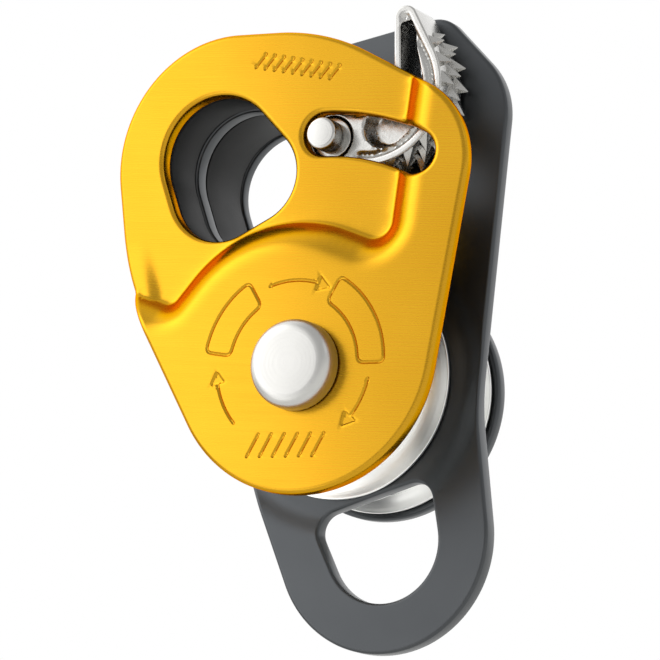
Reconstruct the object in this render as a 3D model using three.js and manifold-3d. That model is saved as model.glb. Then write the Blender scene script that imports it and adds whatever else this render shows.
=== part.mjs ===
// Double rope pulley with a toothed progress-capture cam, in millimetres, +Z up.
// Two ball-bearing sheaves turn on one riveted axle, on either side of a fixed middle plate.
// The front and rear side plates swing open on the same axle, and the cam turns on its own pin.
// Outlines are drawn in the XZ plane from the sheave axle, and depth runs along +Y, away from the front.
import * as THREE from 'three';
import { mergeVertices } from 'three/addons/utils/BufferGeometryUtils.js';
import Module from 'manifold-3d';

// ---- Driving dimensions ----
const GAP = 0.3; // running and seating gap between neighbours
const DOME_GAP = 0.6; // between the front sheave and the domed plate
const FLANGE_R = 18; // sheave flange
const TREAD_R = 12.5; // bottom of the rope groove
const SHEAVE_WIDTH = 11.6;
const GROOVE_WIDTH = 9.8; // at the flanges
const FLANGE_TAPER = { run: 2.5, depth: 0.3 }; // thinning of the flanges towards their rims, on their outer faces
const PLATE_THICKNESS = 3; // swing plate and middle plate
const REAR_PLATE_THICKNESS = 2.4;
const RECESS_DEPTH = 4; // step down from the sheave dome to the attachment end of the swing plate
const STEP_RUN = 3; // width of the sloping wall of that step
const PLATE_MARGIN = 1; // rear plate beyond the flange

const AXLE_R = 4;
const AXLE_HEAD_R = 6.8;
const AXLE_HEAD_HEIGHT = 3.5;
const AXLE_REAR_HEAD_R = 5.4;
const AXLE_REAR_HEAD_HEIGHT = 1.6;
const REAR_WASHER_R = 7.2;
const REAR_WASHER_THICKNESS = 0.8;

const BALL_R = 1.35;
const BALL_COUNT = 8;
const RACE_WALL = 1.3; // inner and outer race, outside their grooves
const CAGE_WALL = 1;
const CAGE_RAIL = 0.25; // beside the ball pockets
const SEAL_THICKNESS = 0.3;
const CAGE_WIDTH = 2 * (BALL_R + GAP + CAGE_RAIL);
const BEARING_WIDTH = CAGE_WIDTH + 2 * (GAP + SEAL_THICKNESS);

const ROPE_ROOM = 4.8; // over the flanges, up to the lowest part of the connector tunnel
const CROWN_Z = FLANGE_R + ROPE_ROOM; // bottom of the tunnel: heights at the attachment end start here
const PIN = { x: 11.3, z: CROWN_Z + 11.7 }; // cam pivot from the sheave axle
const PIN_TIP_R = 2.45;
const PIN_SHANK_R = 2;
const PIN_FLANGE_R = 3.1;
const PIN_FLANGE_THICKNESS = 0.9;
const PIN_HEAD_R = 3.4;
const PIN_HEAD_HEIGHT = 1.4;
const PIN_PROUD = 0.7; // tip beyond the recessed face of the swing plate
const SLOT_HALF_WIDTH = 3.3;
const SLOT_SWEEP = 28; // degrees from the pin to the far end

const CAM_REAR_ROOM = 0.9; // between the cam and the middle plate
const CAM_RIM_R = 11.8; // toothed arc, about its own centre
const CAM_RIM_CENTRE = { u: 8, w: 5 }; // from the pin
const CAM_HUB_R = 4.2;
const CAM_POCKET_DEPTH = 2.5;
const TOOTH_HEIGHT = 1.6;
const TOOTH_ROWS = 3;
const TEETH_PER_ROW = 9;
const TOOTH_ARC = [-58, 34]; // degrees about the rim's centre

const SPRING_WIRE_R = 0.25;
const SPRING_TURNS = 3;

const SPACER_SETBACK = 0.2; // tunnel wall behind the edge of the plate hole

const ATTACHMENT = { x: -5.2, z: CROWN_Z + 13 }; // centre of the attachment hole from the sheave axle

// ---- Outlines: circles [x, z, radius] with a belt round them, a negative radius for a hollow corner ----
const SWING_OUTLINE = [
  [0.8, 2.4, FLANGE_R + 3.7],
  [20.9, CROWN_Z + 2.4, 13.8],
  [-1.8, CROWN_Z - 0.6, 32.1],
  [-4.4, CROWN_Z + 13.1, 19.9],
  [9.4, CROWN_Z + 3.4, 35.1],
];
const MIDDLE_OUTLINE = [
  [-0.3, -FLANGE_R - 7, 17.5],
  [FLANGE_R + 41.3, -FLANGE_R - 3.2, -40.6],
  [24.9, CROWN_Z + 11.7, 12],
  [27.8, CROWN_Z + 22.3, 4.7],
  [-6.9, CROWN_Z + 14.1, 16.7],
];
const REAR_OUTLINE = [
  [0, 0, FLANGE_R + PLATE_MARGIN],
  [-6.6, CROWN_Z + 14.2, 16.6],
];
const ATTACHMENT_HOLE = [
  [-6.4, CROWN_Z + 14.6, 9.6],
  [-7.2, CROWN_Z + 10.2, 8.6],
  [-1.9, CROWN_Z + 10, 7.6],
];
const SPACER_OUTLINE = [
  [-6.4, CROWN_Z + 14.6, 12],
  [-7.2, CROWN_Z + 10.2, 10.2],
  [-1.9, CROWN_Z + 10, 8.8],
];
const BECKET_EYE = [
  [-0.4, -FLANGE_R - 7.6, 9.2],
  [6.2, -FLANGE_R - 3.5, 3.1],
  [-7.2, -FLANGE_R - 3.5, 3.1],
];
const CATCH_HOLE = [
  [PIN.x + 12.9, PIN.z + 8.9, 1.5],
  [PIN.x + 13.2, PIN.z + 11.7, 1.5],
];

// A circle that touches the foot of the dome from outside, at an angle in degrees about the dome's centre.
const DOME = { x: -3, z: 0.3, foot: FLANGE_R + 5.4 };
function besideDome(degrees, radius) {
  const angle = THREE.MathUtils.degToRad(degrees);
  const reach = DOME.foot + radius + GAP;
  return [DOME.x + reach * Math.cos(angle), DOME.z + reach * Math.sin(angle), radius];
}

// Foot of the step, round the recessed attachment end. It leaves the plate on its far sides.
const RECESS_OUTLINE = [
  besideDome(130, 1.8),
  [DOME.x, DOME.z, -DOME.foot],
  besideDome(43, 2.7),
  [39.3, CROWN_Z + 47.5, 2.2],
  [-55, CROWN_Z + 47.5, 3],
  [-55, CROWN_Z + 27, 3],
];
// The cam, from its pin.
const CAM_OUTLINE = [
  [5.6, -3.9, 2.6],
  [CAM_RIM_CENTRE.u, CAM_RIM_CENTRE.w, CAM_RIM_R],
  [16.4, 13.7, 1.9],
  [9.4, 6.6, -3],
  [0, 0, CAM_HUB_R],
];
const CAM_LOOP_HOLE = [
  [14.9, 4, 1.7],
  [16.2, 12.2, 1],
];
const CAM_POCKET = [
  [8.6, -1.4, 2.5],
  [13, 0.2, 2.4],
];

// ---- Depths along Y, from the rear face of the front sheave ----
const FRONT_SHEAVE_Y = -SHEAVE_WIDTH / 2;
const DOME_BACK = -SHEAVE_WIDTH - DOME_GAP;
const DOME_FRONT = DOME_BACK - PLATE_THICKNESS;
const RECESS_FRONT = DOME_FRONT + RECESS_DEPTH;
const RECESS_BACK = DOME_BACK + RECESS_DEPTH;
const MIDDLE_FRONT = GAP;
const MIDDLE_BACK = MIDDLE_FRONT + PLATE_THICKNESS;
const REAR_SHEAVE_Y = MIDDLE_BACK + GAP + SHEAVE_WIDTH / 2;
const REAR_FRONT = MIDDLE_BACK + SHEAVE_WIDTH + 2 * GAP;
const REAR_BACK = REAR_FRONT + REAR_PLATE_THICKNESS;
const CAM_FRONT = RECESS_BACK + GAP;
const CAM_BACK = MIDDLE_FRONT - CAM_REAR_ROOM;
const CAM_THICKNESS = CAM_BACK - CAM_FRONT;
const MIDDLE_Y = (MIDDLE_FRONT + MIDDLE_BACK) / 2;

const PIN_RADIUS = Math.hypot(PIN.x, PIN.z); // of the slot's arc about the sheave axle
const PIN_ANGLE = THREE.MathUtils.radToDeg(Math.atan2(PIN.z, PIN.x));

// ---- Bearing radii, worked outwards from the axle ----
const INNER_BORE_R = AXLE_R + GAP;
const INNER_RACE_R = INNER_BORE_R + RACE_WALL;
const BALL_PITCH_R = INNER_RACE_R + BALL_R - 0.15;
const OUTER_RACE_R = 2 * BALL_PITCH_R - INNER_RACE_R;
const OUTER_BORE_R = OUTER_RACE_R + RACE_WALL;
const SHEAVE_BORE_R = OUTER_BORE_R + GAP;
const RACE_GROOVE_R = BALL_R + GAP;

const wasm = await Module();
wasm.setup();

// ---- Solids and booleans ----
function solidOf(geometry) {
  const bare = geometry.clone();
  bare.deleteAttribute('normal');
  bare.deleteAttribute('uv');
  const merged = mergeVertices(bare, 1e-4);
  const vertProperties = merged.attributes.position.array;
  const triVerts = new Uint32Array(merged.index.array);
  return new wasm.Manifold(new wasm.Mesh({ numProp: 3, vertProperties, triVerts }));
}

function geometryOf(solid) {
  const mesh = solid.getMesh();
  const geometry = new THREE.BufferGeometry();
  geometry.setAttribute('position', new THREE.BufferAttribute(mesh.vertProperties, 3));
  geometry.setIndex(new THREE.BufferAttribute(mesh.triVerts, 1));
  const faceted = geometry.toNonIndexed();
  faceted.computeVertexNormals();
  return faceted;
}

function cut(solid, ...tools) {
  return tools.reduce((left, tool) => left.subtract(tool), solid);
}

// ---- Outlines ----
const ARC_STEP = THREE.MathUtils.degToRad(9);

// The closed outline of a belt round circles taken counter-clockwise, each grown by the same amount.
function belt(circles, grow = 0) {
  const count = circles.length;
  const normals = circles.map(([x, z, r], i) => {
    const [nextX, nextZ, nextR] = circles[(i + 1) % count];
    const along = new THREE.Vector2(nextX - x, nextZ - z);
    const span = along.length();
    along.divideScalar(span);
    const sine = THREE.MathUtils.clamp((nextR - r) / span, -1, 1);
    const cosine = Math.sqrt(1 - sine * sine);
    return new THREE.Vector2(sine * along.x - cosine * along.y, sine * along.y + cosine * along.x);
  });
  const points = [];
  circles.forEach(([x, z, r], i) => {
    const before = normals[(i + count - 1) % count];
    const after = normals[i];
    const side = r < 0 ? 1 : -1;
    const start = Math.atan2(side * before.y, side * before.x);
    const end = Math.atan2(side * after.y, side * after.x);
    const turn = 2 * Math.PI;
    let sweep = (((end - start) * -side) % turn + turn) % turn;
    if (sweep > 0.98 * turn) sweep = 0;
    const steps = Math.max(1, Math.ceil(sweep / ARC_STEP));
    for (let k = 0; k <= steps; k++) {
      const angle = start - (side * sweep * k) / steps;
      const radius = Math.abs(r + grow);
      points.push(new THREE.Vector2(x + radius * Math.cos(angle), z + radius * Math.sin(angle)));
    }
  });
  return points;
}

// A flat plate between two depths, from an outline in the XZ plane.
function plate(points, front, back) {
  const shape = new THREE.Shape(points);
  const extruded = new THREE.ExtrudeGeometry(shape, { depth: back - front, bevelEnabled: false });
  return solidOf(extruded.rotateX(Math.PI / 2).translate(0, back, 0));
}

// A solid through outlines with the same number of points, each [depth, points], from front to back.
function loft(rings) {
  const size = rings[0][1].length;
  const positions = rings.flatMap(([y, points]) => points.flatMap((p) => [p.x, y, p.y]));
  const index = [];
  const cap = THREE.ShapeUtils.triangulateShape(rings[0][1], []);
  const last = (rings.length - 1) * size;
  for (const [a, b, c] of cap) index.push(a, b, c, last + c, last + b, last + a);
  for (let ring = 0; ring < rings.length - 1; ring++) {
    for (let i = 0; i < size; i++) {
      const here = ring * size + i;
      const next = ring * size + ((i + 1) % size);
      index.push(here, here + size, next, next, here + size, next + size);
    }
  }
  const geometry = new THREE.BufferGeometry();
  geometry.setAttribute('position', new THREE.Float32BufferAttribute(positions, 3));
  geometry.setIndex(index);
  return solidOf(geometry);
}

// A turned piece about Y from a closed profile of [radius, depth], taken counter-clockwise.
function turned(profile, segments = 40) {
  const closed = [...profile, profile[0]].map(([r, y]) => new THREE.Vector2(r, y));
  return solidOf(new THREE.LatheGeometry(closed, segments));
}

function ring(inner, outer, front, back, segments) {
  return turned([[inner, front], [outer, front], [outer, back], [inner, back]], segments);
}

function disc(radius, front, back, x = 0, z = 0, segments = 40) {
  const cylinder = new THREE.CylinderGeometry(radius, radius, back - front, segments);
  return solidOf(cylinder.translate(x, (front + back) / 2, z));
}

// Points of a circular arc in a turned profile, from one angle to another in degrees.
function arc(r, y, radius, from, to, steps) {
  return Array.from({ length: steps + 1 }, (_, i) => {
    const angle = THREE.MathUtils.degToRad(from + ((to - from) * i) / steps);
    return [r + radius * Math.cos(angle), y + radius * Math.sin(angle)];
  });
}

// ---- Materials ----
const finish = (color, metalness, roughness) =>
  new THREE.MeshStandardMaterial({ color, metalness, roughness });
const goldAnodised = finish('#f2b01e', 0.9, 0.3);
const blackAnodised = finish('#3a3b3c', 0.8, 0.4);
const satinAluminium = finish('#c9cac8', 1, 0.35);
const castStainless = finish('#b9bab7', 1, 0.35);
const turnedSteel = finish('#c2c1bd', 1, 0.3);
const bearingSteel = finish('#aeb1b3', 1, 0.2);
const blackNylon = finish('#1d1e1f', 0, 0.55);
const sealRubber = finish('#1a1a1b', 0, 0.7);

// ---- Assembly: depths and places above are from the axle, and the group puts the attachment at the origin ----
const pulley = new THREE.Group();
pulley.position.set(-ATTACHMENT.x, -MIDDLE_Y, -ATTACHMENT.z);

function add(name, solid, material, x = 0, y = 0, z = 0) {
  const mesh = new THREE.Mesh(geometryOf(solid), material);
  mesh.name = name;
  mesh.position.set(x, y, z);
  pulley.add(mesh);
}

// ---- Swing side plate: one formed sheet, domed over the sheave and stepped down round the attachment ----
function slotOutline() {
  const start = PIN_ANGLE;
  const end = PIN_ANGLE - SLOT_SWEEP;
  const steps = 6;
  const at = (degrees, radius) => {
    const angle = THREE.MathUtils.degToRad(degrees);
    return new THREE.Vector2(radius * Math.cos(angle), radius * Math.sin(angle));
  };
  const halfTurn = (degrees, from) =>
    Array.from({ length: 9 }, (_, i) => {
      const centre = at(degrees, PIN_RADIUS);
      const angle = THREE.MathUtils.degToRad(degrees + from + (180 * i) / 8);
      centre.x += SLOT_HALF_WIDTH * Math.cos(angle);
      centre.y += SLOT_HALF_WIDTH * Math.sin(angle);
      return centre;
    });
  const between = (from, to, radius) =>
    Array.from({ length: steps - 1 }, (_, i) => at(from + ((to - from) * (i + 1)) / steps, radius));
  return [
    ...halfTurn(end, 180),
    ...between(end, start, PIN_RADIUS + SLOT_HALF_WIDTH),
    ...halfTurn(start, 0),
    ...between(start, end, PIN_RADIUS - SLOT_HALF_WIDTH),
  ];
}

function swingPlate() {
  const reach = PLATE_THICKNESS + RECESS_DEPTH;
  const recess = (shift) =>
    loft([
      [DOME_FRONT - reach + shift, belt(RECESS_OUTLINE, STEP_RUN)],
      [DOME_FRONT + shift, belt(RECESS_OUTLINE, STEP_RUN)],
      [RECESS_FRONT + shift, belt(RECESS_OUTLINE)],
    ]);
  const behind = plate(belt(SWING_OUTLINE, 1), DOME_BACK, RECESS_BACK + 1);
  return cut(
    plate(belt(SWING_OUTLINE), DOME_FRONT, RECESS_BACK),
    recess(0),
    cut(behind, recess(PLATE_THICKNESS)),
    plate(belt(ATTACHMENT_HOLE), DOME_FRONT - 1, RECESS_BACK + 1),
    plate(slotOutline(), DOME_FRONT - 1, RECESS_BACK + 1),
    disc(AXLE_R + GAP, DOME_FRONT - 1, DOME_BACK + 1)
  );
}
add('swing_side_plate', swingPlate(), goldAnodised);

// ---- Middle plate: the fixed body, with the becket eye below and a notch for the cam spring's leg ----
const SPRING_R = PIN_SHANK_R + GAP + SPRING_WIRE_R;
const throughMiddle = [MIDDLE_FRONT - 1, MIDDLE_BACK + 1];
add(
  'middle_plate',
  cut(
    plate(belt(MIDDLE_OUTLINE), MIDDLE_FRONT, MIDDLE_BACK),
    plate(belt(ATTACHMENT_HOLE), ...throughMiddle),
    plate(belt(BECKET_EYE), ...throughMiddle),
    plate(belt(CATCH_HOLE), ...throughMiddle),
    disc(AXLE_R + GAP, ...throughMiddle),
    disc(PIN_SHANK_R + GAP, ...throughMiddle, PIN.x, PIN.z, 24),
    disc(SPRING_WIRE_R + GAP, ...throughMiddle, PIN.x + SPRING_R, PIN.z, 12)
  ),
  blackAnodised
);

// ---- Rear side plate ----
add(
  'rear_side_plate',
  cut(
    plate(belt(REAR_OUTLINE), REAR_FRONT, REAR_BACK),
    plate(belt(ATTACHMENT_HOLE), REAR_FRONT - 1, REAR_BACK + 1),
    disc(AXLE_R + GAP, REAR_FRONT - 1, REAR_BACK + 1)
  ),
  blackAnodised
);

// ---- Axle: a headed rivet with a washer under its formed rear head ----
const AXLE_HEAD_BACK = DOME_FRONT - GAP;
const WASHER_FRONT = REAR_BACK + GAP;
const REAR_HEAD_FRONT = WASHER_FRONT + REAR_WASHER_THICKNESS + GAP;
const HEAD_ROUND = 2.2; // shoulder of the front head
const REAR_HEAD_BACK = REAR_HEAD_FRONT + AXLE_REAR_HEAD_HEIGHT;
const headFront = AXLE_HEAD_BACK - AXLE_HEAD_HEIGHT;
add(
  'axle',
  turned([
    [0, headFront],
    ...arc(AXLE_HEAD_R - HEAD_ROUND, headFront + HEAD_ROUND, HEAD_ROUND, -90, 0, 5),
    [AXLE_HEAD_R, AXLE_HEAD_BACK],
    [AXLE_R, AXLE_HEAD_BACK],
    [AXLE_R, REAR_HEAD_FRONT],
    [AXLE_REAR_HEAD_R, REAR_HEAD_FRONT],
    [AXLE_REAR_HEAD_R, REAR_HEAD_FRONT + AXLE_REAR_HEAD_HEIGHT / 2],
    [AXLE_REAR_HEAD_R - 1, REAR_HEAD_BACK],
    [0, REAR_HEAD_BACK],
  ]),
  turnedSteel
);
add(
  'axle_washer',
  ring(AXLE_R + GAP, REAR_WASHER_R, WASHER_FRONT, WASHER_FRONT + REAR_WASHER_THICKNESS),
  turnedSteel
);

// ---- Sheaves and their sealed ball bearings, the same on both sides of the middle plate ----
function sheave() {
  const half = SHEAVE_WIDTH / 2;
  const grooveDepth = FLANGE_R - TREAD_R;
  const grooveSteps = 8;
  const groove = Array.from({ length: grooveSteps + 1 }, (_, i) => {
    const angle = Math.PI * (i / grooveSteps);
    return [FLANGE_R - grooveDepth * Math.sin(angle), -(GROOVE_WIDTH / 2) * Math.cos(angle)];
  });
  const rim = half - FLANGE_TAPER.depth;
  const shoulder = FLANGE_R - FLANGE_TAPER.run;
  const front = [[SHEAVE_BORE_R, -half], [shoulder, -half], [FLANGE_R, -rim]];
  const back = [[FLANGE_R, rim], [shoulder, half], [SHEAVE_BORE_R, half]];
  return turned([...front, ...groove, ...back], 48);
}

function innerRace() {
  const half = BEARING_WIDTH / 2;
  const groove = arc(BALL_PITCH_R, 0, RACE_GROOVE_R, 232, 128, 4);
  return turned([[INNER_BORE_R, -half], [INNER_RACE_R, -half], ...groove, [INNER_RACE_R, half], [INNER_BORE_R, half]], 32);
}

function outerRace() {
  const half = BEARING_WIDTH / 2;
  const groove = arc(BALL_PITCH_R, 0, RACE_GROOVE_R, 52, -52, 4);
  return turned([[OUTER_RACE_R, -half], [OUTER_BORE_R, -half], [OUTER_BORE_R, half], [OUTER_RACE_R, half], ...groove], 32);
}

const ballAngles = Array.from({ length: BALL_COUNT }, (_, i) => (360 * i) / BALL_COUNT);

function ballCage() {
  const pockets = ballAngles.map((degrees) => {
    const pocket = new THREE.CylinderGeometry(BALL_R + GAP, BALL_R + GAP, 2 * RACE_GROOVE_R, 12);
    pocket.rotateZ(Math.PI / 2).translate(BALL_PITCH_R, 0, 0);
    return solidOf(pocket.rotateY(THREE.MathUtils.degToRad(degrees)));
  });
  const inner = BALL_PITCH_R - CAGE_WALL / 2;
  return cut(ring(inner, inner + CAGE_WALL, -CAGE_WIDTH / 2, CAGE_WIDTH / 2, 32), ...pockets);
}

function addSheave(side, y) {
  const spacerR = INNER_RACE_R;
  const half = SHEAVE_WIDTH / 2;
  const spacerEnd = BEARING_WIDTH / 2 + GAP;
  const sealInner = BEARING_WIDTH / 2 - SEAL_THICKNESS;
  const seal = ring(INNER_RACE_R + GAP, OUTER_RACE_R - GAP, sealInner, BEARING_WIDTH / 2, 32);
  const sealInFront = ring(INNER_RACE_R + GAP, OUTER_RACE_R - GAP, -BEARING_WIDTH / 2, -sealInner, 32);
  add(`${side}_sheave`, sheave(), satinAluminium, 0, y);
  add(`${side}_outer_race`, outerRace(), bearingSteel, 0, y);
  add(`${side}_inner_race`, innerRace(), bearingSteel, 0, y);
  add(`${side}_ball_cage`, ballCage(), blackNylon, 0, y);
  ballAngles.forEach((degrees, i) => {
    const angle = THREE.MathUtils.degToRad(degrees);
    const ball = new THREE.Mesh(new THREE.SphereGeometry(BALL_R, 10, 6), bearingSteel);
    ball.name = `${side}_ball_${i + 1}`;
    ball.position.set(BALL_PITCH_R * Math.cos(angle), y, -BALL_PITCH_R * Math.sin(angle));
    pulley.add(ball);
  });
  add(`${side}_seal_a`, sealInFront, sealRubber, 0, y);
  add(`${side}_seal_b`, seal, sealRubber, 0, y);
  add(`${side}_spacer_a`, ring(AXLE_R + GAP, spacerR, -half, -spacerEnd, 24), turnedSteel, 0, y);
  add(`${side}_spacer_b`, ring(AXLE_R + GAP, spacerR, spacerEnd, half, 24), turnedSteel, 0, y);
}
addSheave('front', FRONT_SHEAVE_Y);
addSheave('rear', REAR_SHEAVE_Y);

// ---- Tunnel spacers: moulded liners that carry the connector between the plates ----
function tunnelSpacer(front, back) {
  const hole = plate(belt(ATTACHMENT_HOLE, SPACER_SETBACK), front - 1, back + 1);
  return cut(plate(belt(SPACER_OUTLINE), front, back), hole);
}
add('front_tunnel_spacer', tunnelSpacer(RECESS_BACK + GAP, MIDDLE_FRONT - GAP), blackNylon);
add('rear_tunnel_spacer', tunnelSpacer(MIDDLE_BACK + GAP, REAR_FRONT - GAP), blackNylon);

// ---- Cam pin: its tip runs in the swing plate's slot, its flange holds the cam ----
const pinTip = RECESS_FRONT - PIN_PROUD;
const flangeBack = CAM_FRONT + PIN_FLANGE_THICKNESS;
const pinHeadFront = MIDDLE_BACK + GAP;
const PIN_CHAMFER = 0.4;
add(
  'cam_pin',
  turned(
    [
      [0, pinTip],
      [PIN_TIP_R - PIN_CHAMFER, pinTip],
      [PIN_TIP_R, pinTip + PIN_CHAMFER],
      [PIN_TIP_R, CAM_FRONT],
      [PIN_FLANGE_R, CAM_FRONT],
      [PIN_FLANGE_R, flangeBack],
      [PIN_SHANK_R, flangeBack],
      [PIN_SHANK_R, pinHeadFront],
      [PIN_HEAD_R, pinHeadFront],
      [PIN_HEAD_R, pinHeadFront + PIN_HEAD_HEIGHT / 2],
      [PIN_HEAD_R - PIN_HEAD_HEIGHT / 2, pinHeadFront + PIN_HEAD_HEIGHT],
      [0, pinHeadFront + PIN_HEAD_HEIGHT],
    ],
    28
  ),
  turnedSteel,
  PIN.x,
  0,
  PIN.z
);

// ---- Cam spring: a torsion coil round the pin, in the back of the cam's hub, its leg in the middle plate ----
const SPRING_BORE_R = SPRING_R + SPRING_WIRE_R + GAP;
const SPRING_LENGTH = SPRING_TURNS * (2 * SPRING_WIRE_R + 0.1);

class SpringPath extends THREE.Curve {
  getPoint(t, target = new THREE.Vector3()) {
    const coil = Math.min(t / 0.9, 1);
    const leg = Math.max((t - 0.9) / 0.1, 0);
    const angle = 2 * Math.PI * SPRING_TURNS * coil;
    const end = CAM_BACK - SPRING_WIRE_R;
    const legEnd = MIDDLE_FRONT + PLATE_THICKNESS / 2;
    const depth = end - SPRING_LENGTH * (1 - coil) + leg * (legEnd - end);
    return target.set(SPRING_R * Math.cos(angle), depth, SPRING_R * Math.sin(angle));
  }
}

function springSolid() {
  const section = new THREE.Shape(
    Array.from({ length: 6 }, (_, i) => {
      const angle = (Math.PI * i) / 3;
      return new THREE.Vector2(SPRING_WIRE_R * Math.cos(angle), SPRING_WIRE_R * Math.sin(angle));
    })
  );
  return solidOf(new THREE.ExtrudeGeometry(section, { extrudePath: new SpringPath(), steps: 48 }));
}
add('cam_spring', springSolid(), turnedSteel, PIN.x, 0, PIN.z);

// ---- Cam: a stainless casting, with a cord loop, a front pocket and rows of teeth on its rim ----
function camTeeth() {
  const teeth = [];
  const [from, to] = TOOTH_ARC;
  const rowPitch = CAM_THICKNESS / TOOTH_ROWS;
  const sink = 0.6;
  for (let row = 0; row < TOOTH_ROWS; row++) {
    for (let i = 0; i < TEETH_PER_ROW; i++) {
      const stagger = row % 2 ? 0.5 : 0;
      const degrees = from + ((to - from) * (i + stagger)) / TEETH_PER_ROW;
      const cone = new THREE.ConeGeometry(1.1, TOOTH_HEIGHT + sink, 4);
      cone.translate(0, CAM_RIM_R - sink + (TOOTH_HEIGHT + sink) / 2, 0);
      cone.rotateX(Math.PI / 2);
      cone.rotateY(THREE.MathUtils.degToRad(90 - degrees));
      cone.translate(CAM_RIM_CENTRE.u, CAM_FRONT + rowPitch * (row + 0.5), CAM_RIM_CENTRE.w);
      teeth.push(solidOf(cone));
    }
  }
  return teeth;
}

function cam() {
  const flangeSeat = CAM_FRONT + PIN_FLANGE_THICKNESS + GAP;
  const springFloor = CAM_BACK - SPRING_LENGTH - 2 * SPRING_WIRE_R - GAP;
  const body = cut(
    plate(belt(CAM_OUTLINE), CAM_FRONT, CAM_BACK),
    plate(belt(CAM_LOOP_HOLE), CAM_FRONT - 1, CAM_BACK + 1),
    plate(belt(CAM_POCKET), CAM_FRONT - 1, CAM_FRONT + CAM_POCKET_DEPTH),
    disc(PIN_SHANK_R + GAP, CAM_FRONT - 1, CAM_BACK + 1, 0, 0, 24),
    disc(PIN_FLANGE_R + GAP, CAM_FRONT - 1, flangeSeat, 0, 0, 24),
    disc(SPRING_BORE_R, springFloor, CAM_BACK + 1, 0, 0, 24)
  );
  return camTeeth().reduce((joined, tooth) => joined.add(tooth), body);
}
add('cam', cam(), castStainless, PIN.x, 0, PIN.z);

export default pulley;
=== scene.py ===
# Double rope pulley with a toothed progress-capture cam, for ropes of 8 to 11 mm.
# Two sheaves turn on one riveted axle, on either side of a fixed middle plate. The two side plates swing open
# on the same axle, and the cam turns on its own pin. Lengths are in millimetres from the middle of the sheave
# axle: x to the right, depth away from the front, from the rear face of the front sheave, and z up.
import math

import bmesh
import bpy
import numpy as np
from mathutils import Matrix, Vector
from mathutils.geometry import delaunay_2d_cdt


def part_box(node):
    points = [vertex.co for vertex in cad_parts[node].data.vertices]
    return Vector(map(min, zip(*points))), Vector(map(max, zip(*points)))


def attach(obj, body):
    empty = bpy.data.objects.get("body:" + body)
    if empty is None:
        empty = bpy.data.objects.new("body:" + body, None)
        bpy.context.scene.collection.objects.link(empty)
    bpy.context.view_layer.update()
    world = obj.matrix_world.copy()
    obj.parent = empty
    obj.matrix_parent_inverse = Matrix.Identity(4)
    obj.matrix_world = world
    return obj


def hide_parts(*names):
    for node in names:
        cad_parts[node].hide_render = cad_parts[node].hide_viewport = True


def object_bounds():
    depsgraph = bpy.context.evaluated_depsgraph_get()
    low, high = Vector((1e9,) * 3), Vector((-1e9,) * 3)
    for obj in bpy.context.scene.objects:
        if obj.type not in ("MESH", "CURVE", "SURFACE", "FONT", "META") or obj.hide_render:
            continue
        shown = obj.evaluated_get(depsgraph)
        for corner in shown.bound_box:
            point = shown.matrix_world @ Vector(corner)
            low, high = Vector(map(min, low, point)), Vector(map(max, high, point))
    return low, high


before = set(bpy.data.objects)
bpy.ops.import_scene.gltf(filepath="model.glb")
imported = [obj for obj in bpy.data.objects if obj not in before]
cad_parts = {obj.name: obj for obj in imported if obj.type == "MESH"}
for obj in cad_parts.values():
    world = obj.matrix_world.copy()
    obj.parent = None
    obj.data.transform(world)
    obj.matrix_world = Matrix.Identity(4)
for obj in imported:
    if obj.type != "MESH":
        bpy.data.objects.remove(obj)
cad_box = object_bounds()

# ---- Swing side plate ----
# The front plate that the user opens to lay in the rope: 3 mm aluminium sheet, pressed into a dome over the
# sheave and a step down to the attachment end, with tumbled round edges, brushed and anodised gold. The rope's
# way round the sheave is engraved on the dome.
MM = 0.001
axle_low, axle_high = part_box("axle")
sheave_rear_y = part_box("front_sheave")[1].y
AXLE = Vector(((axle_low.x + axle_high.x) / 2, sheave_rear_y, (axle_low.z + axle_high.z) / 2))


def point(x, depth, z):
    """A place given in millimetres from the axle, in the frame."""
    return AXLE + Vector((x, depth, z)) * MM


def depths(node):
    """Front and back of a CAD node, in millimetres."""
    low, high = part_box(node)
    return (low.y - AXLE.y) / MM, (high.y - AXLE.y) / MM


def half_width(node):
    """Radius of a turned CAD node, in millimetres."""
    low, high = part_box(node)
    return (high.x - low.x) / 2 / MM


def middle(node):
    """Centre of a CAD node across its axis, in millimetres from the sheave axle."""
    low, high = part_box(node)
    return ((low + high) / 2 - AXLE).xz / MM


FLANGE_R = half_width("front_sheave")
CROWN_Z = FLANGE_R + 4.8  # bottom of the tunnel
PLATE = 3.0  # thickness of the sheet
PIN_X, PIN_Z = middle("cam_pin")
CHORD = 0.6  # longest piece of an outline
WIDEST_STEP = 0.12  # radians between two points of an arc, at most
TUMBLED = 0.03  # taken off every edge by tumbling


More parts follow.
